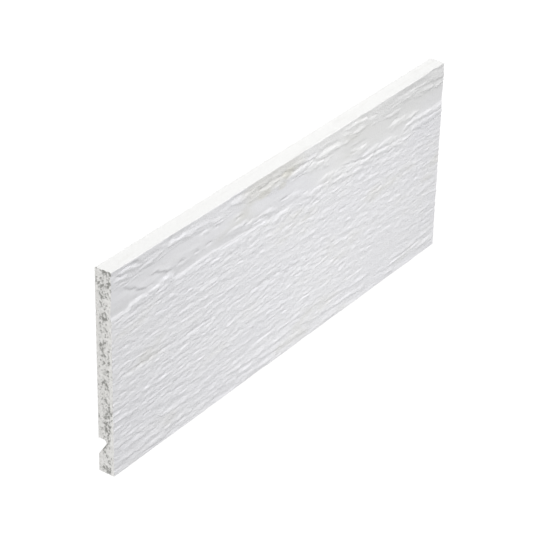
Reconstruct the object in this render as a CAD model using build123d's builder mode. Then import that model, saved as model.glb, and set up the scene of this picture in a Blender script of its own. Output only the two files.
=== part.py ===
"""Fascia board: one sawn length of fibre-cement trim, lying on its back.

X runs along the board, Y from the bottom edge to the top edge, and Z from the
back, at zero, up to the crests of the wood-grained face. The origin is the
middle of the back. One solid: a plank section with a groove along its back.
"""

import os
from math import radians, tan

from build123d import *

# The plank, in millimetres: 5/8 by 7 1/4 by 18 inches.
BOARD_LENGTH = 457.2
BOARD_WIDTH = 184.15
BOARD_THICKNESS = 15.875
ARRIS_RADIUS = 0.8

# The groove along the back: its upper wall stands square to the back, its root
# is round, and its lower wall slopes out to a rounded lip.
GROOVE_TOP = 31.2
GROOVE_DEPTH = 7.6
GROOVE_SLOPE = 33.0
ROOT_RADIUS = 2.8
LIP_RADIUS = 2.0

# The groove is drawn as a sharp V, whose corner lies deeper than the root that
# the fillet leaves.
corner_angle = 90.0 - GROOVE_SLOPE
corner_depth = GROOVE_DEPTH + ROOT_RADIUS * (1.0 / tan(radians(corner_angle / 2)) - 1.0)
groove_mouth = corner_depth / tan(radians(GROOVE_SLOPE))

bottom_edge = -BOARD_WIDTH / 2
upper_lip = (bottom_edge + GROOVE_TOP, 0.0)
root_corner = (bottom_edge + GROOVE_TOP, corner_depth)
lower_lip = (bottom_edge + GROOVE_TOP - groove_mouth, 0.0)

with BuildPart() as fascia_board:
    with BuildSketch(Plane.YZ) as section:
        with Locations((0, BOARD_THICKNESS / 2)):
            Rectangle(BOARD_WIDTH, BOARD_THICKNESS)
        fillet(section.vertices(), ARRIS_RADIUS)
        with BuildLine():
            Polyline(upper_lip, root_corner, lower_lip, close=True)
        make_face(mode=Mode.SUBTRACT)
        for corner, radius in ((root_corner, ROOT_RADIUS), (lower_lip, LIP_RADIUS)):
            fillet(section.vertices().sort_by_distance(corner)[0], radius)
    extrude(amount=BOARD_LENGTH / 2, both=True)

fascia_board.part.label = "fascia_board"

os.makedirs("parts", exist_ok=True)
export_step(fascia_board.part, "parts/fascia_board.step")

print(f"groove mouth {groove_mouth:.2f} mm, lower lip {GROOVE_TOP - groove_mouth:.2f} mm up")
print(f"volume {fascia_board.part.volume:.0f} mm3")
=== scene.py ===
# %% [markdown]
# # A fascia board with a pressed wood grain
# A fascia board is the trim that closes the ends of a roof's rafters. This one is
# a short length of fibre cement: a mould pressed the grain of rough wood into its
# face, the factory primed it white, and a saw cut it to length.
# It lies on its back, as it would be stored: X runs along the board, Y from its
# bottom edge to its top edge, and Z from the floor up to the grained face.

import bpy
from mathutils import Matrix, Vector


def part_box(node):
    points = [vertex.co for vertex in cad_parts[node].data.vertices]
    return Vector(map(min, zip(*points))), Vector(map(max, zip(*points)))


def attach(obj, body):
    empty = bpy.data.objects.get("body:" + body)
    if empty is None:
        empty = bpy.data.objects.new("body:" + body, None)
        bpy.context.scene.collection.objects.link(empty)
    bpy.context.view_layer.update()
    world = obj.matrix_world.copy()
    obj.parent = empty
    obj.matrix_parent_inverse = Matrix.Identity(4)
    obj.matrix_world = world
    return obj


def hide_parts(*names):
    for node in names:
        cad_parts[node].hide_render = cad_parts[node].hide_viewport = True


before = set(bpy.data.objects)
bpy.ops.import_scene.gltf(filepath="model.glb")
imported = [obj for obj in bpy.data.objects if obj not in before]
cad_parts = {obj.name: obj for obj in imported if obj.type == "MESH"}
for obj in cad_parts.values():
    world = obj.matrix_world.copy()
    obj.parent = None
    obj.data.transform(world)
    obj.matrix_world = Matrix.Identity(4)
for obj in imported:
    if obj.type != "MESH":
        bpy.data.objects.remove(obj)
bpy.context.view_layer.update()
print(f"the part has {len(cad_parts)} node")

# %% [markdown]
# ## Sizes
# Blender counts in metres and a maker of boards in millimetres, so one value turns
# the one into the other. The board's size is read from the part and not typed in
# again, so the mesh can't drift away from the solid that it stands for.

# %% Blender's modules, and the size of the board
from math import pi, radians, tan

import bmesh
import bpy
from mathutils import Matrix, Vector

MM = 0.001
low, high = (Vector(corner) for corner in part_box("fascia_board"))
board_length, board_width, board_thickness = high - low
mm_length = board_length / MM
mm_width = board_width / MM
mm_thickness = board_thickness / MM
print(f"board {mm_length:.1f} x {mm_width:.2f} x {mm_thickness:.3f} mm")

# %% [markdown]
# ## The camera
# The photograph is taken from afar with a long lens, so the board's edges stay
# almost parallel. The lens and the place come from solving the photograph's edges
# for a board of this size. The picture's up is nearly the board's width, so the
# camera is turned about its own axis by a small roll from there.

# %% Place the camera
CAMERA_PLACE = Vector((-1.2917, 0.9271, 0.9176))
CAMERA_AIM = Vector((-0.0086, -0.0134, 0.0017))
CAMERA_ROLL = radians(1.35)
CAMERA_LENS = 147.5
SENSOR_WIDTH = 36.0

bpy.ops.object.select_all(action="DESELECT")
bpy.ops.object.camera_add()
camera = bpy.context.object
camera.name = "camera"
camera.data.lens = CAMERA_LENS
camera.data.sensor_width = SENSOR_WIDTH
backward = (CAMERA_PLACE - CAMERA_AIM).normalized()
right = Vector((0, 1, 0)).cross(backward).normalized()
upward = backward.cross(right)
turned = Matrix((right, upward, backward)).transposed() @ Matrix.Rotation(CAMERA_ROLL, 3, "Z")
camera.matrix_world = Matrix.Translation(CAMERA_PLACE) @ turned.to_4x4()
bpy.context.scene.camera = camera
print(f"camera {(CAMERA_PLACE - CAMERA_AIM).length:.2f} m from the board")

# %% [markdown]
# ## Choosing edges and faces
# By hand, edges and faces are picked with the mouse. A script picks them by a rule on
# their place or direction. One small function does that in edit mode and says how many
# it found, which shows at once when a rule is wrong. A rule is given the two ends of an
# edge, or the middle and the normal of a face.

# %% Select edges or faces by rule
SAME = 0.001 * MM


def select_parts(piece, kind, wanted):
    """In edit mode, select the edges or the faces that satisfy the rule wanted; say how many."""
    bpy.ops.mesh.select_mode(type=kind)
    bpy.ops.mesh.select_all(action="DESELECT")
    mesh = bmesh.from_edit_mesh(piece.data)
    if kind == "EDGE":
        parts = [(edge, edge.verts[0].co, edge.verts[1].co) for edge in mesh.edges]
    else:
        parts = [(face, face.calc_center_median(), face.normal) for face in mesh.faces]
    chosen = [part for part, first, second in parts if wanted(first, second)]
    for part in chosen:
        part.select_set(True)
    bmesh.update_edit_mesh(piece.data)
    return len(chosen)


def runs_along(a, b):
    """True of an edge that runs along the board."""
    return abs(a.y - b.y) < SAME and abs(a.z - b.z) < SAME


# %% [markdown]
# ## The blank
# Every length of this trim starts as a plain slab. A cube is added, stretched to
# the board's size and applied, so the mesh itself holds the size. The four long
# arrises are eased with a small bevel, as the mould and handling leave them.

# %% Make the slab and ease its long edges
ARRIS = 0.8 * MM
EDGE_STEPS = 3
ROUND = {"offset_type": "OFFSET", "profile": 0.5}


def add_block(name, size, middle):
    """Add a cube, stretch it to a size around its middle, and apply both to its mesh."""
    bpy.ops.object.select_all(action="DESELECT")
    bpy.ops.mesh.primitive_cube_add(size=1.0)
    block = bpy.context.object
    block.name = name
    block.data.name = name
    block.scale = size
    block.location = middle
    bpy.ops.object.transform_apply(location=True, rotation=True, scale=True)
    return block


board = add_block("embossed_board", high - low, (low + high) / 2)
bpy.ops.object.mode_set(mode="EDIT")
arrises = select_parts(board, "EDGE", runs_along)
bpy.ops.mesh.bevel(offset=ARRIS, segments=EDGE_STEPS, **ROUND)
bpy.ops.object.mode_set(mode="OBJECT")
print(f"eased {arrises} long edges")

# %% [markdown]
# ## The groove along the back
# Low on the back runs a groove that takes the edge of a soffit sheet. Its upper
# wall is square, its root is round and its lower wall slopes out. The easiest way
# is to model the tool and not the hole: a wedge is made from a cube by moving one
# of its edges, its tip is rounded with a bevel, and a Boolean takes it away.

# %% Make the wedge
GROOVE_TOP = 31.2 * MM
GROOVE_DEPTH = 7.6 * MM
GROOVE_SLOPE = radians(33.0)
ROOT_RADIUS = 2.8 * MM
ROOT_STEPS = 8
WEDGE_SPARE = 5.0 * MM

tip_half_angle = (pi / 2 - GROOVE_SLOPE) / 2
tip_height = GROOVE_DEPTH + ROOT_RADIUS * (1 / tan(tip_half_angle) - 1)
groove_wall = low.y + GROOVE_TOP
wedge_height = tip_height + WEDGE_SPARE
wedge_width = wedge_height / tan(GROOVE_SLOPE)
wedge_size = (board_length + 2 * WEDGE_SPARE, wedge_width, wedge_height)
wedge_middle = (0, groove_wall - wedge_width / 2, tip_height - wedge_height / 2)

wedge = add_block("groove_wedge", wedge_size, wedge_middle)
bpy.ops.object.mode_set(mode="EDIT")
select_parts(wedge, "EDGE", lambda a, b: runs_along(a, b) and a.z > 0 and a.y < wedge_middle[1])
bpy.ops.transform.translate(value=(0, wedge_width, 0))
bpy.ops.mesh.select_all(action="SELECT")
bpy.ops.mesh.remove_doubles(threshold=SAME)
select_parts(wedge, "EDGE", lambda a, b: runs_along(a, b) and a.z > 0)
bpy.ops.mesh.bevel(offset=ROOT_RADIUS / tan(tip_half_angle), segments=ROOT_STEPS, **ROUND)
bpy.ops.mesh.select_all(action="SELECT")
bpy.ops.mesh.normals_make_consistent(inside=False)
bpy.ops.object.mode_set(mode="OBJECT")
print(f"wedge {wedge_width / MM:.1f} mm wide, its round tip {GROOVE_DEPTH / MM:.1f} mm into the back")

# %% Cut with the wedge
def apply_to_board(modifier):
    """Make the board the active object, and apply one of its modifiers."""
    bpy.ops.object.select_all(action="DESELECT")
    board.select_set(True)
    bpy.context.view_layer.objects.active = board
    bpy.ops.object.modifier_apply(modifier=modifier.name)


cut = board.modifiers.new("groove", "BOOLEAN")
cut.operation = "DIFFERENCE"
cut.solver = "EXACT"
cut.object = wedge
apply_to_board(cut)
bpy.data.objects.remove(wedge)
print(f"the board has {len(board.data.polygons)} faces after the cut")

# %% Round the groove's lower lip
LIP_RADIUS = 2.0 * MM
LIP_SEARCH = 0.05 * MM

lip = groove_wall - tip_height / tan(GROOVE_SLOPE)
bpy.ops.object.mode_set(mode="EDIT")
select_parts(board, "EDGE",
             lambda a, b: runs_along(a, b) and abs(a.z) < SAME and abs(a.y - lip) < LIP_SEARCH)
bpy.ops.mesh.bevel(offset=LIP_RADIUS * tan(GROOVE_SLOPE / 2), segments=EDGE_STEPS, **ROUND)
bpy.ops.object.mode_set(mode="OBJECT")
print(f"lower lip {(lip - low.y) / MM:.2f} mm up the back")

# %% [markdown]
# ## Slicing the slab into a fine grid
# A mould can only press a relief into a mesh that has points to move. The slab is
# sliced across its width and through its thickness with bisect planes, which also
# gives the sawn ends a grid for their pits. A slice of the width is 0.6 mm wide, about
# half a pixel of the picture. Along its length only the face and a skirt on top of the
# sides are subdivided: the flat back needs no more points.

# %% Slice it
ROWS = 310
LAYERS = 22

inner_width = board_width - 2 * ARRIS
inner_thickness = board_thickness - 2 * ARRIS
bpy.ops.object.mode_set(mode="EDIT")
for slices, normal, start, span in ((ROWS, Vector((0, 1, 0)), low.y + ARRIS, inner_width),
                                    (LAYERS, Vector((0, 0, 1)), low.z + ARRIS, inner_thickness)):
    for i in range(1, slices):
        bpy.ops.mesh.select_all(action="SELECT")
        cut_at = normal * (start + span * i / slices)
        bpy.ops.mesh.bisect(plane_co=cut_at, plane_no=normal, threshold=SAME)
print(f"slices {inner_width / ROWS / MM:.2f} mm wide and {inner_thickness / LAYERS / MM:.2f} mm thick")

# %% Subdivide the face and its skirt along the board
# The cuts make 80 pieces of each edge, and then 3 of each piece.
CUTS_ALONG = (79, 2)
SKIRT = 5.0 * MM

for cuts in CUTS_ALONG:
    select_parts(board, "EDGE", lambda a, b: runs_along(a, b) and a.z > high.z - SKIRT)
    bpy.ops.mesh.subdivide(number_cuts=cuts)
bpy.ops.object.mode_set(mode="OBJECT")
print(f"sliced into {len(board.data.vertices)} points and {len(board.data.polygons)} faces")

# %% [markdown]
# ## One function for every node
# The grain and every material are node trees. A node is always added in the same
# way: choose its kind, set its properties, then fill its sockets with plain values
# or with links from other nodes. One small function does all three, and takes a row of
# sockets with a row of values too. The kinds, settings and rows that come up again and
# again get short names.

# %% Add one node
MATH = "ShaderNodeMath"
VECTOR = "ShaderNodeVectorMath"
RANGE = "ShaderNodeMapRange"
MIX = "ShaderNodeMix"
PLUS = {"operation": "ADD"}
MINUS = {"operation": "SUBTRACT"}
TIMES = {"operation": "MULTIPLY"}
TIMES_PLUS = {"operation": "MULTIPLY_ADD"}
LARGER = {"operation": "MAXIMUM"}
SIZE_ONLY = {"operation": "ABSOLUTE"}
SMOOTH = {"interpolation_type": "SMOOTHSTEP"}
STRAIGHT = {"interpolation_type": "LINEAR"}
COLOUR = {"data_type": "RGBA"}
FROM = ("From Min", "From Max")
TO = ("To Min", "To Max")
WHOLE = (0.0, 1.0)


def add_node(tree, kind, settings=None, links=None):
    """Add a node, set its properties, and fill its sockets from values or other nodes' sockets."""
    node = tree.nodes.new(kind)
    for name, value in (settings or {}).items():
        setattr(node, name, value)
    for sockets, sources in (links or {}).items():
        pairs = zip(sockets, sources) if isinstance(sockets, tuple) else ((sockets, sources),)
        for socket, source in pairs:
            if isinstance(source, bpy.types.Node):
                source = source.outputs[0]
            if isinstance(source, bpy.types.NodeSocket):
                tree.links.new(source, node.inputs[socket])
            else:
                node.inputs[socket].default_value = source
    return node


# %% [markdown]
# ## Patches of a real size
# Nearly every pattern on this board, from the bend of the grain to the grit of the
# primer, is soft random patches of a known size. The place in millimetres is divided
# by that size and given to a noise texture. Two sizes make a flat pattern, for the
# face, and three make one that runs on round a corner.

# %% Add patches
def patches(tree, where, mm_sizes, detail=0.0, roughness=0.5):
    """Add random patches from 0 to 1, with the given sizes in millimetres; where is in millimetres."""
    shares = [1 / size for size in mm_sizes] + [0.0] * (3 - len(mm_sizes))
    scaled = add_node(tree, VECTOR, TIMES, {0: where, 1: shares})
    noise = add_node(tree, "ShaderNodeTexNoise", {"noise_dimensions": f"{len(mm_sizes)}D"},
                     {"Vector": scaled, "Scale": 1.0, "Detail": detail, "Roughness": roughness})
    return noise.outputs["Fac"]


# %% [markdown]
# ## Pressing the wood grain
# The mould's grain is a height for each point of the face. Geometry Nodes can work
# it out from where the point lies: so many millimetres along from the sawn end, and
# so many millimetres below the top edge. All heights here are in millimetres too.

# %% Where each point lies
press = bpy.data.node_groups.new("grain_press", "GeometryNodeTree")
press.interface.new_socket("Geometry", in_out="INPUT", socket_type="NodeSocketGeometry")
press.interface.new_socket("Geometry", in_out="OUTPUT", socket_type="NodeSocketGeometry")
blank = add_node(press, "NodeGroupInput")
metres = add_node(press, "GeometryNodeInputPosition")
point = add_node(press, VECTOR, {"operation": "SCALE"}, {0: metres, "Scale": 1 / MM})
point_parts = add_node(press, "ShaderNodeSeparateXYZ", {}, {0: point})
along = add_node(press, MATH, PLUS, {0: point_parts.outputs["X"], 1: mm_length / 2})
below = add_node(press, MATH, MINUS, {0: mm_width / 2, 1: point_parts.outputs["Y"]})
through = point_parts.outputs["Z"]
place = add_node(press, "ShaderNodeCombineXYZ", {}, {"X": along, "Y": below})
print(f"a place on the face is up to {mm_length:.1f} mm along and {mm_width:.2f} mm below")

# %% [markdown]
# ## The flow of the grain
# Real grain is never ruled straight. Each row below is one wave: its length along
# the board, its length across, and how far it pushes the grain, all in millimetres.
# Added to the distance below the top edge, they bend every line that is drawn from
# it. A slow sag lets the grain run downhill towards the far end.

# %% Bend the grain
WANDERS = (
    (170.0, 60.0, 4.5),
    (34.0, 11.0, 2.2),
)
SAG = 0.00016

far = add_node(press, MATH, TIMES, {0: along, 1: along})
flowed = add_node(press, MATH, TIMES_PLUS, {0: far, 1: -SAG, 2: below})
for wave_long, wave_wide, push in WANDERS:
    wave = patches(press, place, (wave_long, wave_wide), detail=1.0)
    flowed = add_node(press, MATH, TIMES_PLUS, {0: wave, 1: push, 2: flowed})
flow = add_node(press, "ShaderNodeCombineXYZ", {}, {"X": along, "Y": flowed})
print(f"the grain sags by {SAG * mm_length ** 2:.0f} mm from end to end")

# %% [markdown]
# ## Shingles
# Rough-sawn wood tears into small shingles: each falls away gently and ends in a
# short steep step. A Voronoi texture stretched along the board gives such cells.
# Measured from its own cell's middle, a point slopes down across the cell and jumps
# at its border, and a random level for each cell makes some steps high and some low.
# Where patches of the face were smooth, the fall fades out.

# %% Lay shingles over a height
# A noise seldom leaves the middle of its range, so shares are read from there.
NOISE_MIDDLE = (0.3, 0.7)
FALL_PATCH = (13, 5)
FALL_SHARES = (0.1, 1.8)

fading = patches(press, place, FALL_PATCH)
fall_share = add_node(press, RANGE, {}, {"Value": fading, FROM: NOISE_MIDDLE, TO: FALL_SHARES})


def scatter_cells(where, mm_sizes, softness):
    """Add random cells of a size in millimetres; give the place from a cell's middle, and its levels."""
    cell_place = add_node(press, VECTOR, TIMES, {0: where, 1: (1 / mm_sizes[0], 1 / mm_sizes[1], 0)})
    cells = add_node(press, "ShaderNodeTexVoronoi", {"voronoi_dimensions": "2D", "feature": "SMOOTH_F1"},
                     {"Vector": cell_place, "Scale": 1.0, "Smoothness": softness})
    from_middle = add_node(press, VECTOR, MINUS, {0: cells.outputs["Position"], 1: cell_place})
    levels = add_node(press, "FunctionNodeSeparateColor", {}, {0: cells.outputs["Color"]})
    return from_middle, levels


def lay_shingles(ground, where, mm_sizes, tilt, rise, softness):
    """Add shingles of a size to the height ground: they fall by tilt, at random levels up to rise."""
    from_middle, levels = scatter_cells(where, mm_sizes, softness)
    fall = add_node(press, "ShaderNodeSeparateXYZ", {}, {0: from_middle})
    broken = add_node(press, MATH, TIMES, {0: fall.outputs["Y"], 1: fall_share})
    tilted = add_node(press, MATH, TIMES_PLUS, {0: broken, 1: tilt, 2: ground})
    return add_node(press, MATH, TIMES_PLUS, {0: levels.outputs["Red"], 1: rise, 2: tilted})


# %% [markdown]
# ## Torn grain in the middle
# Most of the face is torn across its fibres. Ripples of three sizes make the fibres,
# each row with its length, width and height, and shingles of two sizes lie on them,
# each row with its length, width, tilt and rise. Half of all the heights is taken off
# first, so the grain swings evenly about its own level.

# %% Ripples and shingles
RIPPLES = (
    (46.0, 5.6, 0.45),
    (7.6, 4.1, 0.72),
    (3.4, 2.5, 0.66),
)
SHINGLES = (
    (11.0, 5.0, 0.29, 0.22),
    (7.0, 3.2, 0.145, 0.11),
)
SHINGLE_SOFTNESS = 0.4

swing = sum(height for *_, height in RIPPLES) + sum(rise for *_, rise in SHINGLES)
torn = -swing / 2
for ripple_long, ripple_wide, height in RIPPLES:
    ripple = patches(press, flow, (ripple_long, ripple_wide))
    torn = add_node(press, MATH, TIMES_PLUS, {0: ripple, 1: height, 2: torn})
for cell_long, cell_wide, tilt, rise in SHINGLES:
    torn = lay_shingles(torn, flow, (cell_long, cell_wide), tilt, rise, SHINGLE_SOFTNESS)
print(f"torn grain swings by up to {swing:.2f} mm")

# %% [markdown]
# ## Longer lines towards both edges
# Near the top and bottom edges the wood was cut along its rings, and the lines run
# longer and deeper. They are long shingles over a noise stretched into ridges, with
# their own waves, and a little of the torn grain on top.

# %% Long shingles and ridges
RIDGE_PATCH = (22, 4.6)
RIDGE_HEIGHT = 0.8
LINE_CELL = (26, 5.4)
LINE_TILT = 0.37
LINE_RISE = 0.26
LINE_SOFTNESS = 0.65
WAVE_PATCH = (40, 20)
WAVE_PUSH = 5.0
TORN_SHARE = 0.35

wave = patches(press, place, WAVE_PATCH, detail=1.0)
waved = add_node(press, MATH, TIMES_PLUS, {0: wave, 1: WAVE_PUSH, 2: below})
line_flow = add_node(press, "ShaderNodeCombineXYZ", {}, {"X": along, "Y": waved})
ridge = patches(press, line_flow, RIDGE_PATCH, detail=1.0)
ridges = add_node(press, MATH, TIMES_PLUS, {0: ridge, 1: RIDGE_HEIGHT, 2: -(RIDGE_HEIGHT + LINE_RISE) / 2})
lines = lay_shingles(ridges, line_flow, LINE_CELL, LINE_TILT, LINE_RISE, LINE_SOFTNESS)
long_lines = add_node(press, MATH, TIMES_PLUS, {0: torn, 1: TORN_SHARE, 2: lines})
print(f"long lines swing by up to {RIDGE_HEIGHT + LINE_RISE + TORN_SHARE * swing:.2f} mm")

# %% Lay the long lines along the top and the bottom
BOTTOM_ZONE = (138.0, 160.0)
TOP_ZONE = (24.0, 12.0)

to_bottom = add_node(press, RANGE, SMOOTH, {"Value": waved, FROM: BOTTOM_ZONE})
to_top = add_node(press, RANGE, SMOOTH, {"Value": below, FROM: TOP_ZONE})
line_share = add_node(press, MATH, LARGER, {0: to_bottom, 1: to_top})
both = add_node(press, MIX, {"data_type": "FLOAT"}, {"Factor": line_share, "A": torn, "B": long_lines})
print(f"long lines above {TOP_ZONE[0]:.0f} mm and below {BOTTOM_ZONE[0]:.0f} mm")

# %% [markdown]
# ## Strong and quiet places
# The grain isn't equally strong everywhere. It varies in wide clouds, fades a little
# towards the far end, is quiet along the top edge, and one patch low on the right was
# almost smooth. Each of these is a share that follows a measure, and the grain is
# multiplied by all four. Later steps need such shares too, so a function adds them.

# %% Multiply by shares
def weigh(tree, value, rows):
    """Multiply by a share for each row: what it follows, from where to where, its ends, and its course."""
    for measure, reach, shares, course in rows:
        share = add_node(tree, RANGE, course, {"Value": measure, FROM: reach, TO: shares})
        value = add_node(tree, MATH, TIMES, {0: value, 1: share})
    return value


# %% Make the grain stronger and weaker
CLOUD_PATCH = (90, 35)
SMOOTH_PATCH = (372.0, 152.0)
PATCH_REACH = (42.0, 19.0)

cloud = patches(press, place, CLOUD_PATCH)
patch_share = (1 / PATCH_REACH[0], 1 / PATCH_REACH[1], 0)
patch_middle = (SMOOTH_PATCH[0] / PATCH_REACH[0], SMOOTH_PATCH[1] / PATCH_REACH[1], 0)
patch_place = add_node(press, VECTOR, TIMES, {0: place, 1: patch_share})
from_patch = add_node(press, VECTOR, {"operation": "DISTANCE"}, {0: patch_place, 1: patch_middle})
grain = weigh(press, both, (
    (cloud, NOISE_MIDDLE, (0.8, 1.15), STRAIGHT),
    (along, (0.0, mm_length), (1.1, 0.85), STRAIGHT),
    (below, (14.0, 24.0), (0.62, 1.0), SMOOTH),
    (from_patch.outputs["Value"], (0.35, 1.0), (0.4, 1.0), SMOOTH),
))
print(f"{len(press.nodes)} nodes make the grain")

# %% [markdown]
# ## The smooth band below the top edge
# Under the top edge the wood split off in one long smooth band. Its floor slopes
# deeper towards its lower edge and ends there in a crisp wall, which catches the
# light. The two edges and the strength of the wall are drawn as curves over the
# length of the board: millimetres along, then millimetres below the top edge, or for
# the wall a share in percent.

# %% Draw the band's edges and its wall
LOWER_EDGE = (
    (0, 41), (20, 41), (23, 38), (39, 37.6), (51, 36.7), (61, 35.7), (72, 34.4), (75, 41), (89, 40.8),
    (104, 39.8), (126, 39.6), (131, 41), (155, 42), (171, 42.2), (192, 43.5), (222, 45), (226, 43),
    (255, 44), (272, 43), (281, 41), (300, 38), (330, 44), (375, 46), (392, 46), (400, 38), (457.2, 38),
)
UPPER_EDGE = (
    (0, 16), (60, 14), (100, 13), (140, 15.5), (185, 17), (215, 20), (250, 20), (285, 19), (320, 16),
    (380, 17), (457.2, 18),
)
WALL_STRENGTH = (
    (0, 85), (20, 80), (25, 2), (71, 2), (76, 95), (100, 95), (112, 55), (126, 60), (134, 95), (165, 90),
    (205, 85), (220, 75), (227, 12), (380, 10), (410, 30), (457.2, 45),
)
CURVE_SPAN = 100.0

length_share = add_node(press, MATH, {"operation": "DIVIDE"}, {0: along, 1: mm_length})


def draw_edge(points):
    """Add a curve through points of (millimetres along, value), the values as shares of CURVE_SPAN."""
    node = add_node(press, "ShaderNodeFloatCurve", {}, {"Value": length_share})
    curve = node.mapping.curves[0]
    for mm_along, value in points[1:-1]:
        curve.points.new(mm_along / mm_length, value / CURVE_SPAN)
    curve.points[0].location = (0.0, points[0][1] / CURVE_SPAN)
    curve.points[-1].location = (1.0, points[-1][1] / CURVE_SPAN)
    for knot in curve.points:
        knot.handle_type = "VECTOR"
    node.mapping.update()
    return node


lower_edge, upper_edge, wall_strength = (draw_edge(edge) for edge in (LOWER_EDGE, UPPER_EDGE, WALL_STRENGTH))
band_top = min(mm_below for _, mm_below in UPPER_EDGE)
band_bottom = max(mm_below for _, mm_below in LOWER_EDGE)
print(f"the band lies between {band_top} and {band_bottom} mm below the top edge")

# %% Tear the edges a little, and find what lies between them
RAGGED_CELL = (18, 2.6)
RAGGED_SOFTNESS = 0.2

ragged = scatter_cells(flow, RAGGED_CELL, RAGGED_SOFTNESS)[1]
# Each row: an edge, the mm it is torn by, and the mm below it where the band is not yet there and in full.
torn_edges = (
    (upper_edge, 6.0, (1.0, 5.0)),
    (lower_edge, 1.6, (2.0, -0.6)),
)
band = 1.0
for edge, tear, limits in torn_edges:
    torn_below = add_node(press, MATH, TIMES_PLUS, {0: ragged.outputs["Green"], 1: tear, 2: below})
    from_edge = add_node(press, MATH, TIMES_PLUS, {0: edge, 1: -CURVE_SPAN, 2: torn_below})
    band = weigh(press, band, [(from_edge, limits, WHOLE, SMOOTH)])
print(f"the press has {len(press.nodes)} nodes with the band")

# %% Calm the grain in the band, and slope its floor down to the wall
# The floor is measured from the lower edge, which came last above.
BAND_GRAIN = 0.22
FLOOR_FALL = 1.2
FLOOR_REACH = (-15.0, -0.5)

calm_grain = weigh(press, grain, [(band, WHOLE, (1.0, BAND_GRAIN), STRAIGHT)])
walled = weigh(press, wall_strength, [(from_edge, FLOOR_REACH, (0.0, -FLOOR_FALL), SMOOTH)])
band_floor = add_node(press, MATH, TIMES, {0: walled, 1: band})
banded = add_node(press, MATH, PLUS, {0: calm_grain, 1: band_floor})
print(f"the band's floor falls {FLOOR_FALL} mm over {-FLOOR_REACH[0]:.0f} mm where its wall is full")

# %% [markdown]
# ## Single strokes, drawn one by one
# The strokes that give this face its character are placed one by one, as a carver
# would pencil them on the blank. Each is a line of points, in millimetres along and
# below the top edge, and its kind says how the face rises or falls around it. A
# drawing is a wire mesh on the face laid flat, beside a mesh of the lines' end points.
# The lines were judged as the camera sees them on a flat face. The pressed face lies a
# little deeper, so every line moves by what that depth shifts it in the view.

# %% A function that draws
SEEN_SHIFT = (1.2, 0.9)
drawn = {}


def draw_lines(name, lines):
    """Keep under name one wire object of the lines and one of their end points, in millimetres."""
    drawn[name] = []
    for part in ("lines", "ends"):
        points = []
        edges = []
        for run in lines:
            for i, (mm_along, mm_below) in enumerate(run if part == "lines" else (run[0], run[-1])):
                if i and part == "lines":
                    edges.append((len(points) - 1, len(points)))
                points.append((mm_along + SEEN_SHIFT[0], mm_below + SEEN_SHIFT[1], 0))
        wire = bpy.data.meshes.new(f"{name}_{part}")
        wire.from_pydata(points, edges, [])
        drawing = bpy.data.objects.new(wire.name, wire)
        bpy.context.collection.objects.link(drawing)
        drawn[name].append(drawing)
    print(f"{name}: {len(lines)} strokes")


# %% [markdown]
# ## Raised strokes
# Flakes are ridges that turn a steep side up to the light. Slivers are thin flakes,
# and steps are flakes with a long gentle lower side. Shelves turn their steep side
# down into shade. Waves are the low rounded lines of the rings, most of them near the
# bottom edge.

# %% Flakes
draw_lines("flakes", (
    ((4, 132.8), (14, 133.2), (26, 133.4)), ((37, 133.9), (46, 133.7)),
    ((257, 17.6), (266, 18.6), (274, 21.6)), ((319, 29.6), (328, 30.8), (336, 30.4)),
    ((9, 4.6), (18, 5), (25, 6.2), (30, 6.6)), ((3, 9), (12, 9.4), (20, 9.2)),
    ((66, 6.4), (74, 7), (82, 6.6), (96, 8)), ((109, 15.8), (119, 16.8)), ((124, 15.4), (135, 15.8)),
    ((145, 5), (155, 7), (165, 7.4), (175, 8)), ((185, 11), (192, 12), (203, 12.3)),
    ((199, 10), (208, 10)), ((210, 11.5), (224, 12)), ((203, 16), (213, 16.4)),
    ((226, 14.6), (240, 14.5), (256, 13.5)), ((232, 6), (243, 8.2), (250, 10.4), (263, 9.5)),
    ((263, 15), (270, 14.2), (288, 14.2), (297, 15.5)), ((272, 23.5), (279, 26.5)), ((302, 9), (313, 9)),
    ((315, 11.5), (322, 13), (333, 12.5)), ((301, 15.5), (311, 16.5)), ((344, 15.4), (352, 15.8)),
    ((366, 18), (375, 17.2), (388, 18.5)), ((422, 14.4), (435, 15), (441, 15.8)),
    ((442, 17.5), (454, 17)), ((399, 31.5), (406, 30.8), (416, 31)), ((313, 28), (319, 30)),
    ((254, 43), (262, 43.5), (271, 43)), ((287, 40), (296, 41.5), (305, 42)),
    ((302, 41), (312, 44), (317, 44.5)), ((285, 47), (296, 46), (312, 50)), ((314, 51), (329, 50.5)),
    ((327, 46), (340, 46), (349, 45.5)), ((347, 46.5), (358, 47.5), (370, 47)),
    ((370, 50.5), (380, 49.5), (389, 51)), ((389, 52), (406, 50)),
    ((399, 38.5), (412, 37), (434, 39.5), (457, 39)), ((403, 44.5), (420, 44.8), (457, 45)),
))

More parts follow.
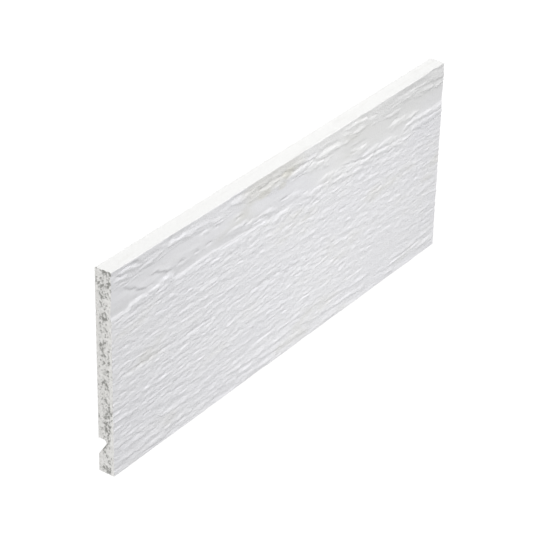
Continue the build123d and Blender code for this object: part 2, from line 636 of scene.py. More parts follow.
# %% Slivers, steps and shelves
draw_lines("slivers", (
    ((13, 4.6), (19, 5.2), (28, 6.4)), ((5, 8.8), (12, 9.2), (18, 9)), ((14, 18.6), (20, 18.4)),
    ((29, 12.4), (45, 10.4), (62, 7.7)), ((96, 6.4), (115, 8.9), (134, 11.8)), ((151, 19.4), (159, 19.4)),
    ((313, 4.4), (326, 4.9), (341, 7.4)), ((371, 12.4), (386, 10.4), (405, 11.4)),
    ((312, 22), (326, 24.4)), ((191, 33.9), (200, 35.9), (213, 40.4)), ((213, 33.4), (222, 33.4)),
    ((213, 37), (222, 37.2)), ((232, 35), (243, 38.4), (253, 42.4)), ((110, 42.5), (124, 43.5)),
    ((75, 47), (88, 46.6)), ((100, 44), (112, 44.6)),
))
draw_lines("steps", (
    ((249, 18), (258, 17.6), (267, 18.8), (275, 21.4)), ((224, 33), (233, 33.8), (244, 36)),
    ((240, 37.6), (248, 40), (254, 42.6)), ((189, 33), (196, 33.8), (204, 36)),
    ((374, 28.8), (384, 28.4), (400, 28.8)), ((320, 31.6), (328, 33), (337, 32.6)),
    ((336, 40), (345, 39.5), (354, 38)), ((356, 41), (366, 41), (379, 41.5)),
    ((148, 29), (155, 30), (166, 29.6)), ((165, 33.2), (172, 33.8), (181, 33.8)),
    ((179, 37.4), (191, 38.4)), ((271, 35.6), (278, 36), (289, 37)), ((22, 38.2), (30, 37.8), (38, 37.6)),
    ((45, 37.2), (52, 36.6), (59, 36.4)), ((56, 35.2), (63, 34.8), (71, 34.4)), ((56, 41.6), (66, 41.2)),
))
draw_lines("shelves", (
    ((9, 5.6), (20, 8), (36, 8.6)), ((0, 12), (12, 12.4), (24, 11.8)), ((2, 15), (20, 15.2)),
    ((39, 12.6), (51, 11.5)), ((84, 10), (101, 10), (117, 12)), ((119, 12.2), (136, 13)),
    ((151, 22), (161, 22)), ((214, 14), (226, 16.5)), ((228, 16.2), (253, 16)),
    ((267, 16.4), (299, 16.2)), ((302, 4.5), (313, 4.5)), ((312, 15), (322, 18)), ((402, 33), (415, 33)),
    ((264, 39), (273, 39)), ((254, 46), (269, 46)),
    ((300, 35), (310, 38), (330, 42), (352, 43), (375, 45), (405, 47)),
    ((408, 46.6), (430, 48), (457, 46.5)), ((439, 41.5), (457, 42)), ((21, 174), (34, 173.5)),
    ((75, 173.8), (97, 173)), ((40, 32), (48, 37)), ((186, 14.5), (201, 16.5)),
))

# %% Waves
draw_lines("waves", (
    ((0, 157), (14, 156.5), (27, 156), (40, 156.8), (50, 156.8)),
    ((2, 164), (14, 163), (35, 162.7), (54, 161)),
    ((3, 171.5), (25, 171.8), (45, 170.5), (68, 171.5), (97, 172.2)),
    ((33, 177.5), (50, 177.8), (66, 178)), ((50, 158.4), (70, 158), (88, 158.4), (110, 159.6)),
    ((60, 163), (80, 163.2)), ((112, 165.5), (134, 166.3)), ((128, 168.5), (140, 169.5), (150, 171.5)),
    ((102, 174.5), (118, 175), (131, 175.5)),
    ((143, 163), (165, 164), (185, 164.8), (205, 164.5), (225, 165)),
    ((156, 170.3), (175, 171.2), (195, 171.2), (215, 172.3), (233, 173.5), (257, 174.5)),
    ((158, 178.5), (190, 179.3), (233, 180)), ((250, 167), (276, 168), (297, 170)),
    ((287, 161), (307, 161.6)), ((318, 164), (335, 164), (352, 163.8)),
    ((298, 172.5), (318, 173), (344, 174.5)), ((276, 179), (302, 179)),
    ((385, 165.5), (400, 166.5), (426, 166)), ((366, 178.5), (390, 177.6)), ((425, 174), (457, 174)),
    ((430, 164), (457, 164)), ((396, 155), (413, 155)), ((239, 138), (261, 138.3)),
    ((238, 149.4), (262, 149.6)), ((299, 140.3), (316, 140.5)), ((425, 116), (450, 115.8)),
    ((430, 137), (446, 137)), ((98, 66.3), (128, 66.5)), ((76, 60), (90, 60.2)), ((34, 68.5), (50, 68.8)),
    ((98, 76), (116, 76)), ((137, 82.5), (160, 82.8)), ((158, 75), (172, 75.2)), ((269, 74), (282, 74.3)),
    ((251, 82.8), (266, 82.8)), ((266, 96.5), (280, 96.8)), ((244, 104), (256, 104)),
    ((279, 104.2), (292, 104.8)), ((293, 109.5), (306, 109.8)), ((234, 110.5), (246, 110.6)),
    ((429, 60), (441, 60.2)), ((416, 68), (425, 68)), ((286, 56.3), (298, 56.3)),
))

# %% [markdown]
# ## Strokes pressed in
# Splits are valleys with a long upper side in shade, and troughs are more even ones
# along the rings. Some of both lie just above a flake or a step, which then stands free
# with a wider lit side. Grooves are narrow and sharp, and knots are short deep dimples.

# %% Splits, troughs, grooves and knots
draw_lines("splits", (
    ((23, 36), (31, 35.6), (38, 35.4)), ((45, 35), (52, 34.4), (59, 34.2)),
    ((57, 33), (63, 32.6), (71, 32.2)), ((258, 15.8), (266, 16.8), (274, 19.6)),
    ((319, 27.6), (328, 28.8), (336, 28.4)),
    ((60, 3.4), (72, 4), (84, 4.4), (96, 5.4)), ((143, 2.2), (152, 3.8), (163, 4.4), (175, 5.4)),
    ((168, 8), (184, 9.4), (203, 9.8)), ((208, 9.2), (222, 9.8)),
    ((221, 10), (228, 11.6), (240, 12.8), (256, 12)), ((262, 12), (275, 11.8), (297, 12.6)),
    ((312, 1), (322, 2.5), (335, 5), (346, 8)), ((384, 5), (405, 6), (425, 6.6)),
    ((433, 2.6), (445, 4), (457, 6.4)),
))
draw_lines("troughs", (
    ((13, 2.8), (22, 3.2), (31, 4)), ((3, 6.8), (12, 7.2), (20, 7)),
    ((6, 96.4), (26, 96.2), (45, 97), (76, 97)), ((86, 98.2), (110, 98.4), (128, 98.8)),
    ((140, 99), (160, 99.4)), ((172, 99), (190, 99.2), (215, 99.4)),
    ((308, 38), (316, 40.4), (330, 43), (355, 44), (376, 45.6), (396, 46.6)),
))
draw_lines("grooves", (
    ((99, 29.5), (101, 29.6)), ((125, 17), (128, 17)), ((0, 44.5), (30, 41.5), (48, 38.5)),
    ((3, 48), (35, 44), (62, 39)), ((8, 51.5), (40, 47), (72, 42)), ((2, 54), (30, 52), (62, 49)),
    ((304, 37), (315, 40), (340, 42.2), (370, 44.4), (400, 46.8), (430, 48.4)),
))
draw_lines("knots", (
    ((81, 28.2), (86, 28.4)), ((101, 28.2), (103, 28.8)), ((116, 28.6), (120, 28.8)),
    ((127, 16.8), (128.5, 17)), ((153, 22.6), (158, 22.4)), ((107, 14), (110, 14.4)),
    ((376, 25.4), (382, 25.4)), ((170, 128), (172, 128)), ((387, 101.4), (391, 101.6)),
    ((300, 79), (305, 79.4)), ((435, 150), (437, 151)), ((67, 112.4), (69, 113)),
))

# %% [markdown]
# ## Cracks
# At a crack the face steps down sharply and then comes back slowly. The same lines
# are drawn twice, once for the lip above the step and once for the bed below it.

# %% Cracks
CRACKS = (
    ((14, 19.6), (20, 22), (26, 24), (30, 27), (35, 29.5), (41, 31)),
    ((46, 22.3), (53, 23.5), (60, 26), (71, 30.3)), ((23, 0.8), (29, 2.8), (34, 5.2), (37, 7.2)),
    ((184, 8), (191, 7.6), (198, 8.3)), ((210, 8), (221, 8.5)), ((221, 8), (228, 9.4), (236, 12)),
    ((410, 7.8), (421, 9), (440, 11), (457, 12.5)), ((213, 31), (222, 31)),
)
draw_lines("lips", CRACKS)
draw_lines("beds", CRACKS)

# %% [markdown]
# ## Raising and pressing the face along the strokes
# For every point of the face, the press finds the nearest place on the strokes of one
# kind. The height is full on the line and fades to nothing over a reach. The reach
# differs above and below the line, because a short reach makes a steep side. Strokes
# get thinner and lower towards their ends. A sway bends the drawn lines a little and
# chips break their height, so that no stroke looks ruled.

# %% Sway and chips
SWAY = 5.0
SWAY_PATCH = 5.88
CHIP_PATCH = (7.0, 4.0)
CHIP_LEVELS = (0.36, 0.64)

swaying = patches(press, point, (SWAY_PATCH,) * 3, detail=2.0)
sway = add_node(press, RANGE, {}, {"Value": swaying, TO: (SWAY / 2, -SWAY / 2)})
swayed_below = add_node(press, MATH, PLUS, {0: below, 1: sway})
swayed = add_node(press, "ShaderNodeCombineXYZ", {}, {"X": along, "Y": swayed_below})
chips = patches(press, place, CHIP_PATCH)
chip = add_node(press, RANGE, {}, {"Value": chips, FROM: CHIP_LEVELS, TO: (-0.5, 0.5)})
print(f"strokes sway by up to {SWAY / 2} mm either way")

# %% Carve the strokes
# Each row: kind, mm of reach above and below, mm raised, share left at the ends, share of chips.
STROKES = (
    ("flakes", 2.1, 3.0, 0.86, 0.45, 0.7),
    ("slivers", 1.4, 2.0, 0.46, 0.45, 0.5),
    ("steps", 2.4, 8.0, 0.90, 0.55, 0.6),
    ("shelves", 3.2, 1.5, 0.42, 0.45, 0.8),
    ("waves", 3.4, 3.2, 0.40, 0.45, 1.0),
    ("splits", 6.0, 2.0, -0.75, 0.45, 1.0),
    ("troughs", 2.6, 2.0, -0.75, 0.45, 0.8),
    ("grooves", 1.3, 1.3, -0.22, 0.45, 1.0),
    ("knots", 2.2, 2.4, -0.90, 1.0, 0.0),
    ("lips", 6.0, 1.1, 0.40, 0.45, 0.3),
    ("beds", 1.1, 6.0, -0.40, 0.45, 0.3),
)
TAPER = 6.0

carved = banded
traces = {}
for name, reach_above, reach_below, raised, thin_end, chipping in STROKES:
    lines, ends = (add_node(press, "GeometryNodeObjectInfo", {}, {"Object": drawing})
                   for drawing in drawn[name])
    nearest = add_node(press, "GeometryNodeProximity", {"target_element": "EDGES"},
                       {0: lines.outputs["Geometry"], "Sample Position": swayed})
    from_end = add_node(press, "GeometryNodeProximity", {"target_element": "POINTS"},
                        {0: ends.outputs["Geometry"], "Sample Position": swayed})
    taper = add_node(press, RANGE, SMOOTH,
                     {"Value": from_end.outputs["Distance"], FROM: (0.0, TAPER), TO: (thin_end, 1.0)})
    away = add_node(press, VECTOR, MINUS, {0: swayed, 1: nearest.outputs["Position"]})
    away_parts = add_node(press, "ShaderNodeSeparateXYZ", {}, {0: away})
    is_above = add_node(press, MATH, {"operation": "LESS_THAN"}, {0: away_parts.outputs["Y"], 1: 0.0})
    reach = add_node(press, RANGE, {}, {"Value": is_above, TO: (reach_below, reach_above)})
    tapered = add_node(press, MATH, TIMES, {0: reach, 1: taper})
    share = add_node(press, MATH, {"operation": "DIVIDE"}, {0: nearest.outputs["Distance"], 1: tapered})
    height = weigh(press, taper, [(share, (1.0, 0.0), (0.0, raised), SMOOTH)])
    whole = add_node(press, MATH, TIMES_PLUS, {0: chip, 1: chipping, 2: 1.0})
    chipped = add_node(press, MATH, TIMES, {0: height, 1: whole})
    carved = add_node(press, MATH, PLUS, {0: carved, 1: chipped})
    traces[name] = away_parts.outputs["Y"], nearest.outputs["Distance"], taper
print(f"{len(STROKES)} kinds of stroke carved")

# %% [markdown]
# ## Painted shade in the cracks
# Shade falls where a crack's step meets its bed, just below the line. The face's
# primer will read this share and turn greyer there, as painted shade.

# %% Where the painted shade of the cracks lies
CRACK_SHADE_BELOW = 0.6
CRACK_SHADE_REACH = (1.5, 0.4)

crack_below, crack_near, crack_taper = traces["lips"]
off_crack_shade = add_node(press, MATH, MINUS, {0: crack_below, 1: CRACK_SHADE_BELOW})
off_line = add_node(press, MATH, SIZE_ONLY, {0: off_crack_shade})
close = add_node(press, MATH, LARGER, {0: off_line, 1: crack_near})
# This share is painted shade, darkest just below each crack.
crack = weigh(press, crack_taper, [(close, CRACK_SHADE_REACH, WHOLE, SMOOTH)])
print(f"painted_shade reaches {CRACK_SHADE_BELOW + CRACK_SHADE_REACH[0]:.1f} mm below a crack")

# %% [markdown]
# ## From height to depth
# The slab already has the full thickness, so the grain is pressed down into it and
# never stands proud of it. The two long rims stay a little higher than the grain
# between them. A skirt below the face fades the drop out down the sides.

# %% Press the face down
TOP_LEVEL = 0.7
RIM = (0.4, 3.6)
RIM_SHARE = 0.85

depth = add_node(press, MATH, MINUS, {0: TOP_LEVEL, 1: carved})
kept_depth = add_node(press, MATH, LARGER, {0: depth, 1: 0.0})
from_rim = add_node(press, MATH, {"operation": "PINGPONG"}, {0: below, 1: mm_width / 2})
skirt = ((high.z - SKIRT) / MM, (high.z - ARRIS) / MM)
drop = weigh(press, kept_depth, (
    (from_rim, RIM, (RIM_SHARE, 1.0), SMOOTH),
    (through, skirt, WHOLE, SMOOTH),
))
print(f"grain without height lies {TOP_LEVEL} mm deep, and {TOP_LEVEL * RIM_SHARE:.2f} mm at the rims")

# %% [markdown]
# ## Pits in the sawn ends
# Sawn fibre cement shows its inside: a dense skin on both sides and, between them,
# a core with small voids where fibres and air were. A fine noise above a threshold
# makes the voids. A slower noise gathers them into clusters, and the threshold is
# easier to pass in the core and close to the top edge, and harder at the foot.
# Real voids go down to a tenth of a millimetre. These are drawn as large as they need
# to be to show.

# %% Where the ends are open-grained
CORE_BACK = (2.0, 6.0)
CORE_FRONT = (14.0, 11.0)
OPEN_TOP = (18.0, 9.0)
OPEN_FRONT = (1.0, 7.0)
FRONT_SHARES = (0.45, 1.3)
FOOT_START = (166.0, 170.0)
FOOT_END = (180.0, 176.0)
FOOT_SHARE = -0.07

core = weigh(press, 1.0, (
    (through, CORE_BACK, WHOLE, SMOOTH),
    (through, CORE_FRONT, WHOLE, SMOOTH),
))
top_core = weigh(press, 1.0, (
    (below, OPEN_TOP, WHOLE, SMOOTH),
    (through, OPEN_FRONT, FRONT_SHARES, STRAIGHT),
))
open_grained = add_node(press, MATH, LARGER, {0: core, 1: top_core})
dense_foot = weigh(press, FOOT_SHARE, (
    (below, FOOT_START, WHOLE, SMOOTH),
    (below, FOOT_END, WHOLE, SMOOTH),
))
print(f"open core between {CORE_BACK[0]} and {CORE_FRONT[0]} mm of the thickness")

# %% Press pits into both ends
PIT_PATCH = (1.0, 2.5, 2.1)
PIT_DEPTH = 0.6
CLUSTER_PATCH = (1.0, 11.0, 5.0)
CLUSTER_SHARE = 0.35
OPEN_SHARE = 0.13
PIT_LEVELS = (0.79, 0.955)
END_SEARCH = 0.05

pit_level = patches(press, point, PIT_PATCH, detail=1.0, roughness=0.6)
cluster = patches(press, point, CLUSTER_PATCH)
for part, share in ((cluster, CLUSTER_SHARE), (open_grained, OPEN_SHARE), (dense_foot, 1.0)):
    pit_level = add_node(press, MATH, TIMES_PLUS, {0: part, 1: share, 2: pit_level})
far_out = add_node(press, MATH, SIZE_ONLY, {0: point_parts.outputs["X"]})
on_end = add_node(press, MATH, {"operation": "GREATER_THAN"}, {0: far_out, 1: mm_length / 2 - END_SEARCH})
end_pit = weigh(press, on_end, [(pit_level, PIT_LEVELS, WHOLE, SMOOTH)])
outward = add_node(press, MATH, {"operation": "SIGN"}, {0: point_parts.outputs["X"]})
inward = add_node(press, MATH, TIMES, {0: outward, 1: -PIT_DEPTH})
pit_push = add_node(press, MATH, TIMES, {0: end_pit, 1: inward})
print(f"pits up to {PIT_DEPTH} mm deep")

# %% [markdown]
# ## Running the press
# The materials will need to know how deep a point was pressed, so these numbers are
# stored on the mesh before its points move. Then the modifier is applied, and the
# drawings are no longer needed.

# %% Store the depths, move the points, and apply
SMOOTH_ANGLE = radians(28)

stored = blank
for name, value in (("grain_depth", drop), ("crack", crack), ("band", band), ("pit", end_pit)):
    stored = add_node(press, "GeometryNodeStoreNamedAttribute", {"data_type": "FLOAT", "domain": "POINT"},
                      {"Geometry": stored, "Name": name, "Value": value})
downward = add_node(press, MATH, TIMES, {0: drop, 1: -1.0})
push = add_node(press, "ShaderNodeCombineXYZ", {}, {"X": pit_push, "Z": downward})
push_metres = add_node(press, VECTOR, {"operation": "SCALE"}, {0: push, "Scale": MM})
pressed = add_node(press, "GeometryNodeSetPosition", {}, {"Geometry": stored, "Offset": push_metres})
add_node(press, "NodeGroupOutput", {}, {0: pressed})

pressing = board.modifiers.new("grain_press", "NODES")
pressing.node_group = press
apply_to_board(pressing)
bpy.ops.object.shade_smooth_by_angle(angle=SMOOTH_ANGLE)
for drawing in sum(drawn.values(), []):
    bpy.data.objects.remove(drawing)
depths = [value.value for value in board.data.attributes["grain_depth"].data]
pits = [value.value for value in board.data.attributes["pit"].data]
print(f"grain pressed {min(depths):.2f} to {max(depths):.2f} mm deep")
print(f"{sum(value > 0 for value in pits)} points lie in pits of the sawn ends")

# %% [markdown]
# ## Colours
# Colours are chosen as sRGB hex codes, as a colour picker shows them. Shaders count
# in linear light, so one function turns the code into what a shader takes. Every
# material starts with a place in millimetres. It ends with its colours laid over each
# other, a bump for each pattern that is too fine for the mesh, a shader and the output.

# %% Turn a colour code into linear light
def srgb(code):
    """Turn an sRGB hex colour into the linear colour that a shader takes."""
    parts = (int(code[i:i + 2], 16) / 255 for i in (1, 3, 5))
    return tuple(c / 12.92 if c <= 0.04045 else ((c + 0.055) / 1.055) ** 2.4 for c in parts) + (1.0,)


# %% Start and end a material
def empty_tree(owner):
    """Give a material or a world an empty node tree, and return it."""
    owner.use_nodes = True
    owner.node_tree.nodes.clear()
    return owner.node_tree


def start_material(name):
    """Add an empty material to the board; give its tree and the place in millimetres."""
    material = bpy.data.materials.new(name)
    board.data.materials.append(material)
    tree = empty_tree(material)
    spot = add_node(tree, "ShaderNodeTexCoord")
    mm_spot = add_node(tree, VECTOR, {"operation": "SCALE"}, {0: spot.outputs["Object"], "Scale": 1 / MM})
    return tree, mm_spot


def end_material(tree, ground, layers, bumps, roughness, ior):
    """Lay layers of (share, colour) over the ground colour, add bumps of (pattern, height), and a shader."""
    colour = srgb(ground)
    for share, code in layers:
        layer = add_node(tree, MIX, COLOUR, {"Factor": share, "A": colour, "B": srgb(code)})
        colour = layer.outputs["Result"]
    normal = {}
    for pattern, height in bumps:
        bump = add_node(tree, "ShaderNodeBump", {},
                        {"Height": pattern, "Strength": 1.0, "Distance": height, **normal})
        normal = {"Normal": bump}
    shader = add_node(tree, "ShaderNodeBsdfPrincipled", {},
                      {"Base Color": colour, "Roughness": roughness, "IOR": ior, **normal})
    add_node(tree, "ShaderNodeOutputMaterial", {}, {"Surface": shader})
    print(f"{board.data.materials[-1].name}: {len(tree.nodes)} nodes")


# %% [markdown]
# ## Primer over the pressed face
# The factory sprays the face with a thin white acrylic primer and dries it. It
# leaves a matt film that follows the grain, with a little dry spray as fine grit. The
# eye reads a cool, soft white, mottled by the thickness of the film. A faint grey in
# the deeper grain and a darker grey in the cracks are painted shade.

# %% Film, and painted shade in the deep grain and the cracks
MOTTLE = (70, 25, 25)
FILM_LEVELS = (0.35, 0.65)
DEEP_SHADE_DEPTHS = (0.9, 1.7)
DEEP_SHADE_SHARE = 0.35
CRACK_SHADE_SHARE = 0.45

tree, spot = start_material("acrylic_primer_on_pressed_fibre_cement")
mottle = patches(tree, spot, MOTTLE, detail=3.0, roughness=0.6)
film = add_node(tree, RANGE, {}, {"Value": mottle, FROM: FILM_LEVELS})
deep = add_node(tree, "ShaderNodeAttribute", {"attribute_name": "grain_depth"})
deep_grain_shade = add_node(tree, RANGE, SMOOTH, {"Value": deep.outputs["Fac"], FROM: DEEP_SHADE_DEPTHS, "To Max": DEEP_SHADE_SHARE})
crack_shade_mark = add_node(tree, "ShaderNodeAttribute", {"attribute_name": "crack"})
painted_crack_shade = add_node(tree, MATH, TIMES, {0: crack_shade_mark.outputs["Fac"], 1: CRACK_SHADE_SHARE})
# The two grey layers over the film are painted shade, in the deeper grain and in the cracks.
layers = [(film, "#EEEEF0"), (deep_grain_shade, "#DCDCDD"), (painted_crack_shade, "#A6A6A8")]
print(f"the film is thin and thick in patches {MOTTLE[0]} mm long")

# %% [markdown]
# ## Painted shade and stains on the primer
# Towards the far top corner the face turns a plainer white, and three plain grey spots,
# two towards the far end and one at the near end, are painted shade. Handling left a
# faint beige smudge with three small blotches by the middle of the top edge. Each row is
# one soft spot: its middle in millimetres along and below the top edge, its reach along
# and across, its colour, and the share of it at most. The film's mottle frays the spots' edges.

# %% Spots
# The plain grey rows are painted shade, darker towards the ends of the top edge; the beige rows are stains.
SHADE_AND_STAIN_SPOTS = (
    ((363.6, -12.9), (190, 85), "#EEEEED", 0.85),
    ((433.6, 4.1), (110, 34), "#E2E2E2", 0.8),
    ((343.6, 25.1), (60, 18), "#E4E4E4", 0.6),
    ((28.6, 6.1), (70, 22), "#E2E2E4", 0.4),
    ((203.6, 6.1), (56, 17), "#DCDBD5", 0.6),
    ((223.6, 11.1), (12, 6), "#D4D2C6", 0.45),
    ((191.6, 16.6), (12, 5), "#D8D6CB", 0.4),
    ((215.6, 19.6), (9, 5), "#D8D6CB", 0.4),
)
TINT_DEPTH = 200
TINT_LEVELS = (0.05, 0.55)
FRAY = 0.8

frayed = add_node(tree, MATH, TIMES_PLUS, {0: mottle, 1: FRAY, 2: -FRAY / 2})
for (mm_along, mm_below), (reach_along, reach_across), tint, most in SHADE_AND_STAIN_SPOTS:
    middle = (mm_along - mm_length / 2, mm_width / 2 - mm_below, mm_thickness)
    reach = (reach_along, reach_across, TINT_DEPTH)
    tint_spot = add_node(tree, "ShaderNodeMapping", {"vector_type": "TEXTURE"},
                         {"Vector": spot, "Location": middle, "Scale": reach})
    tint_round = add_node(tree, "ShaderNodeTexGradient", {"gradient_type": "SPHERICAL"},
                          {"Vector": tint_spot})
    tint_level = add_node(tree, MATH, PLUS, {0: tint_round.outputs["Fac"], 1: frayed})
    tinted = add_node(tree, RANGE, SMOOTH, {"Value": tint_level, FROM: TINT_LEVELS, "To Max": most})
    layers.append((tinted, tint))
print(f"{len(SHADE_AND_STAIN_SPOTS)} soft spots on the face")

# %% Grit, and the shader
# Dry spray is finer than half a millimetre. It is drawn coarser here, so that it shows.
GRIT = (2.2, 1.4, 1.4)
GRIT_HEIGHT = 0.5 * MM
BAND_GRIT = 0.25
SHEEN = (0.52, 0.68)
PRIMER_IOR = 1.48

grit = patches(tree, spot, GRIT, detail=2.0, roughness=0.55)
split = add_node(tree, "ShaderNodeAttribute", {"attribute_name": "band"})
gritty = weigh(tree, grit, [(split.outputs["Fac"], WHOLE, (1.0, BAND_GRIT), STRAIGHT)])
sheen = add_node(tree, RANGE, {}, {"Value": mottle, TO: SHEEN})
end_material(tree, "#EAEAED", layers, [(gritty, GRIT_HEIGHT)], sheen, PRIMER_IOR)

# %% [markdown]
# ## Primer on the smooth long edges
# The long edges come smooth from the mould and are rolled with the same primer. A
# roller leaves a fine stipple, slightly drawn out along the board. The eye reads the
# brightest, plainest white of the board, with faint rub marks.

# %% Primer on the long edges
# A roller's stipple is about a millimetre. It is drawn a little coarser, so that it shows.
STIPPLE = (2.4, 1.2, 1.2)
STIPPLE_HEIGHT = 0.12 * MM
RUB = (35, 4, 4)
RUB_LEVELS = (0.5, 0.75)
RUB_SHARE = 0.5
EDGE_ROUGHNESS = 0.58

tree, spot = start_material("acrylic_primer_rolled_on_smooth_edge")
rub = patches(tree, spot, RUB, detail=3.0, roughness=0.65)
rubbed = add_node(tree, RANGE, SMOOTH, {"Value": rub, FROM: RUB_LEVELS, "To Max": RUB_SHARE})
stipple = patches(tree, spot, STIPPLE, detail=2.0)
end_material(tree, "#F1F1F0", [(rubbed, "#E6E5E2")], [(stipple, STIPPLE_HEIGHT)], EDGE_ROUGHNESS, PRIMER_IOR)

# %% [markdown]
# ## Raw fibre cement where the saw cut
# The saw opens the raw material: pale, faintly warm grey, quite matt, with dark voids
# in the core and the saw's fine marks across it. The voids' darkness is painted shade:
# the colour darkens where pits were pressed into the mesh, and finer voids are painted
# as dark specks only, more of them in the core than in the skins.

# %% Colour of the sawn ends
BLOTCH = 3.4
SPECK = (1.0, 1.9, 1.6)
SPECK_LEVELS = (0.56, 0.76)
SPECK_SHARE = 0.5
CORE_MIDDLE = 8.5
CORE_REACH = (6.5, 2.5)
CORE_SPECKS = 0.07

tree, spot = start_material("fibre_cement_cut_with_a_saw")
blotch = patches(tree, spot, (BLOTCH,) * 3, detail=4.0, roughness=0.7)
blotched = add_node(tree, RANGE, {}, {"Value": blotch, FROM: NOISE_MIDDLE})
speck = patches(tree, spot, SPECK, detail=1.0)
spot_parts = add_node(tree, "ShaderNodeSeparateXYZ", {}, {0: spot})
off_core = add_node(tree, MATH, MINUS, {0: spot_parts.outputs["Z"], 1: CORE_MIDDLE})
far_off = add_node(tree, MATH, SIZE_ONLY, {0: off_core})
in_core = add_node(tree, RANGE, SMOOTH, {"Value": far_off, FROM: CORE_REACH, "To Max": CORE_SPECKS})
speck_level = add_node(tree, MATH, PLUS, {0: speck, 1: in_core})
painted_speck_shade = add_node(tree, RANGE, SMOOTH, {"Value": speck_level, FROM: SPECK_LEVELS, "To Max": SPECK_SHARE})
painted_pit_shade = add_node(tree, "ShaderNodeAttribute", {"attribute_name": "pit"})
# The speck and pit layers are painted shade, the darkness inside the voids.
layers = [(blotched, "#FCFBF9"), (painted_speck_shade, "#B4B4B1"), (painted_pit_shade.outputs["Fac"], "#9A9A96")]
print(f"specks of about {SPECK[0]} mm on blotches of {BLOTCH} mm")

# %% Saw marks and crumbs
# A saw's teeth mark the cut every few tenths of a millimetre. They are drawn coarser to show.
SAW_MARKS = (1.0, 1.5, 14.0)
SAW_HEIGHT = 0.12 * MM
CRUMB_HEIGHT = 0.35 * MM
SAWN_ROUGHNESS = 0.88
CEMENT_IOR = 1.5

saw = patches(tree, spot, SAW_MARKS, detail=1.0)
bumps = [(saw, SAW_HEIGHT), (blotch, CRUMB_HEIGHT)]
end_material(tree, "#E3E2DF", layers, bumps, SAWN_ROUGHNESS, CEMENT_IOR)

# %% [markdown]
# ## The back
# The back is left raw. A felt under the wet sheet prints a fine weave into it, and a
# sander takes off the high spots in streaks along the board. The eye reads a slightly
# darker, dusty grey than the primed sides.

# %% Felt-printed, sanded back
# At a scale of 1, a wave texture repeats every 2 pi / 20. The real weave is about half as wide as this one,
# which is drawn coarser to show.
WAVE_PERIOD = 2 * pi / 20
WEAVE = 1.96
WEAVE_WOBBLE = 0.6
WEAVE_HEIGHT = 0.10 * MM
STREAK = (90, 2.2, 2.2)
STREAK_SHARE = 0.6
WEAR = (45, 30, 30)
WEAR_LEVELS = (0.55, 1.05)
BACK_ROUGHNESS = 0.9

tree, spot = start_material("fibre_cement_back_felted_and_sanded")
streak = patches(tree, spot, STREAK, detail=3.0, roughness=0.6)
wear = patches(tree, spot, WEAR, detail=4.0, roughness=0.6)
worn = add_node(tree, MATH, TIMES_PLUS, {0: streak, 1: STREAK_SHARE, 2: wear})
sanded = add_node(tree, RANGE, {}, {"Value": worn, FROM: WEAR_LEVELS})
weave = 1.0
for direction in ("X", "Y"):
    threads = add_node(tree, "ShaderNodeTexWave", {"wave_type": "BANDS", "bands_direction": direction},
                       {"Vector": spot, "Scale": WAVE_PERIOD / WEAVE, "Distortion": WEAVE_WOBBLE,
                        "Detail": 1.0})
    weave = add_node(tree, MATH, TIMES, {0: weave, 1: threads.outputs["Fac"]})
end_material(tree, "#C9C8C2", [(sanded, "#DDDCD7")], [(weave, WEAVE_HEIGHT)], BACK_ROUGHNESS, CEMENT_IOR)

# %% [markdown]
# ## Giving each side its finish
# Faces are chosen by where they lie and which way they turn, and each choice names the
# place of its finish in the board's list. The order matters: the sawn ends come last, so
# a cut face never keeps the finish of the side it belongs to.

# %% Assign the finishes
# The three turns are parts of a face's normal: towards the front, the back, and an end.
FRONT_TURN = 0.8
BACK_TURN = 0.3
END_TURN = 0.35
END_DEPTH = 1.5 * MM
EDGE_FINISH = 1
SAWN_FINISH = 2
BACK_FINISH = 3

inner_y = high.y - ARRIS
SIDES = (
    (EDGE_FINISH, lambda middle, normal: abs(middle.y) > inner_y and abs(normal.z) < FRONT_TURN),
    (BACK_FINISH, lambda middle, normal: normal.z < -BACK_TURN
     or middle.z < high.z - SKIRT and abs(middle.y) < inner_y),
    (SAWN_FINISH, lambda middle, normal: abs(middle.x) > high.x - END_DEPTH and abs(normal.x) > END_TURN),
)

bpy.ops.object.mode_set(mode="EDIT")
for index, wanted in SIDES:
    count = select_parts(board, "FACE", wanted)
    board.active_material_index = index
    bpy.ops.object.material_slot_assign()
    print(f"{board.data.materials[index].name}: {count} faces")
bpy.ops.object.mode_set(mode="OBJECT")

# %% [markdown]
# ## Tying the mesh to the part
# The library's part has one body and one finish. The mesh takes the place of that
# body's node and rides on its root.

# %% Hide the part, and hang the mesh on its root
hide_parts("fascia_board")
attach(board, "root")
board.data.calc_loop_triangles()
print(f"{board.name}: {len(board.data.loop_triangles)} triangles")

# %% [markdown]
# ## What is looked at
# The board lies on white paper in a white room, and paper and room should stay white
# without lighting the board more. Light Path tells a ray that looks at a thing, straight,
# in a gloss or through glass, from one that only carries light.

# %% Tell looking from lighting
def looked_at(tree):
    """Add 1 for a ray that looks at the surface, and 0 for one that carries light."""
    ray = add_node(tree, "ShaderNodeLightPath")
    seen = ray.outputs["Is Camera Ray"]
    for kind in ("Is Glossy Ray", "Is Transmission Ray"):
        seen = add_node(tree, MATH, LARGER, {0: seen, 1: ray.outputs[kind]})
    return seen


# %% [markdown]
# ## White paper on the floor
# What is seen of the paper is nearly all a plain white glow, and the rest of it is lit
# paper that would show the board's shadow. Away from the board the lamps reach the paper
# less, so the glow grows outwards and the white stays even.

# %% Lay the paper
PAPER_SIZE = 30.0
GLOW_SHARE = 0.88
GLOW = (1.15, 1.27)
GLOW_REACH = (0.2, 0.6)

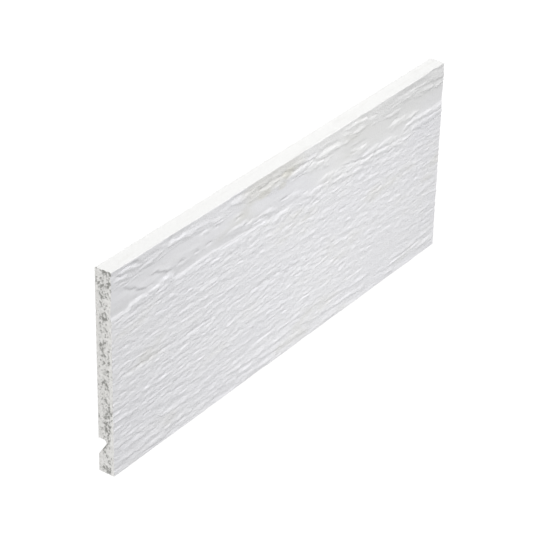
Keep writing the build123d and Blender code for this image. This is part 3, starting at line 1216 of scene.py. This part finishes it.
bpy.ops.object.select_all(action="DESELECT")
bpy.ops.mesh.primitive_plane_add(size=PAPER_SIZE, location=(0, 0, 0))
floor = bpy.context.object
floor.name = "floor"
floor_paper = bpy.data.materials.new("white_studio_paper")
tree = empty_tree(floor_paper)
share = add_node(tree, MATH, TIMES, {0: looked_at(tree), 1: GLOW_SHARE})
paper = add_node(tree, "ShaderNodeBsdfDiffuse", {}, {"Color": srgb("#D8D8D8")})
spot = add_node(tree, "ShaderNodeTexCoord")
away = add_node(tree, VECTOR, {"operation": "LENGTH"}, {0: spot.outputs["Object"]})
strength = add_node(tree, RANGE, SMOOTH, {"Value": away.outputs["Value"], FROM: GLOW_REACH, TO: GLOW})
glow = add_node(tree, "ShaderNodeEmission", {}, {"Color": srgb("#FFFFFF"), "Strength": strength})
mixed = add_node(tree, "ShaderNodeMixShader", {}, {0: share, 1: paper, 2: glow})
add_node(tree, "ShaderNodeOutputMaterial", {}, {"Surface": mixed})
floor.data.materials.append(floor_paper)
print(f"paper {floor.dimensions.x:.0f} m wide")

# %% [markdown]
# ## The white room
# The room's soft light comes from all sides and fills the shadows of the grain. What is
# looked at of it is plain white, as the paper is.

# %% Fill the room with light
ROOM_LIGHT = 0.275

world = bpy.data.worlds.new("studio")
bpy.context.scene.world = world
tree = empty_tree(world)
ambient = add_node(tree, "ShaderNodeBackground", {}, {"Color": srgb("#FFFFFF"), "Strength": ROOM_LIGHT})
backdrop = add_node(tree, "ShaderNodeBackground", {}, {"Color": srgb("#FFFFFF"), "Strength": 1.0})
room = add_node(tree, "ShaderNodeMixShader", {}, {0: looked_at(tree), 1: ambient, 2: backdrop})
add_node(tree, "ShaderNodeOutputWorld", {}, {"Surface": room})
print(f"room light {ROOM_LIGHT}")

# %% [markdown]
# ## The lamps
# A wide softbox far beyond the top edge skims over the face and brings out the grain.
# A small one above the middle lifts the face and lets it fall off to both ends, and
# one beside the camera opens up the sawn end. Each row has the lamp's place, the point
# it is aimed at and its size, in metres, and its power in watts.

# %% Place the softboxes
LAMPS = (
    ("rim_softbox", (0.10, 2.05, 0.85), (0.0, 0.0, 0.0), 0.9, 32.0),
    ("top_softbox", (0.08, -0.07, 0.436), (0.08, -0.07, 0.0), 0.35, 0.71),
    ("end_softbox", (-1.30, -0.10, 0.26), (-0.2, -0.02, 0.0), 0.6, 6.15),
)
for name, lamp_place, lamp_aim, lamp_size, watts in LAMPS:
    bpy.ops.object.select_all(action="DESELECT")
    bpy.ops.object.light_add(type="AREA", location=lamp_place)
    lamp = bpy.context.object
    lamp.name = name
    lamp.data.shape = "SQUARE"
    lamp.data.size = lamp_size
    lamp.data.energy = watts
    lamp.rotation_euler = (Vector(lamp_place) - Vector(lamp_aim)).to_track_quat("Z", "Y").to_euler()
    print(f"{name}: {watts} W")
bpy.context.scene.view_settings.view_transform = "Standard"
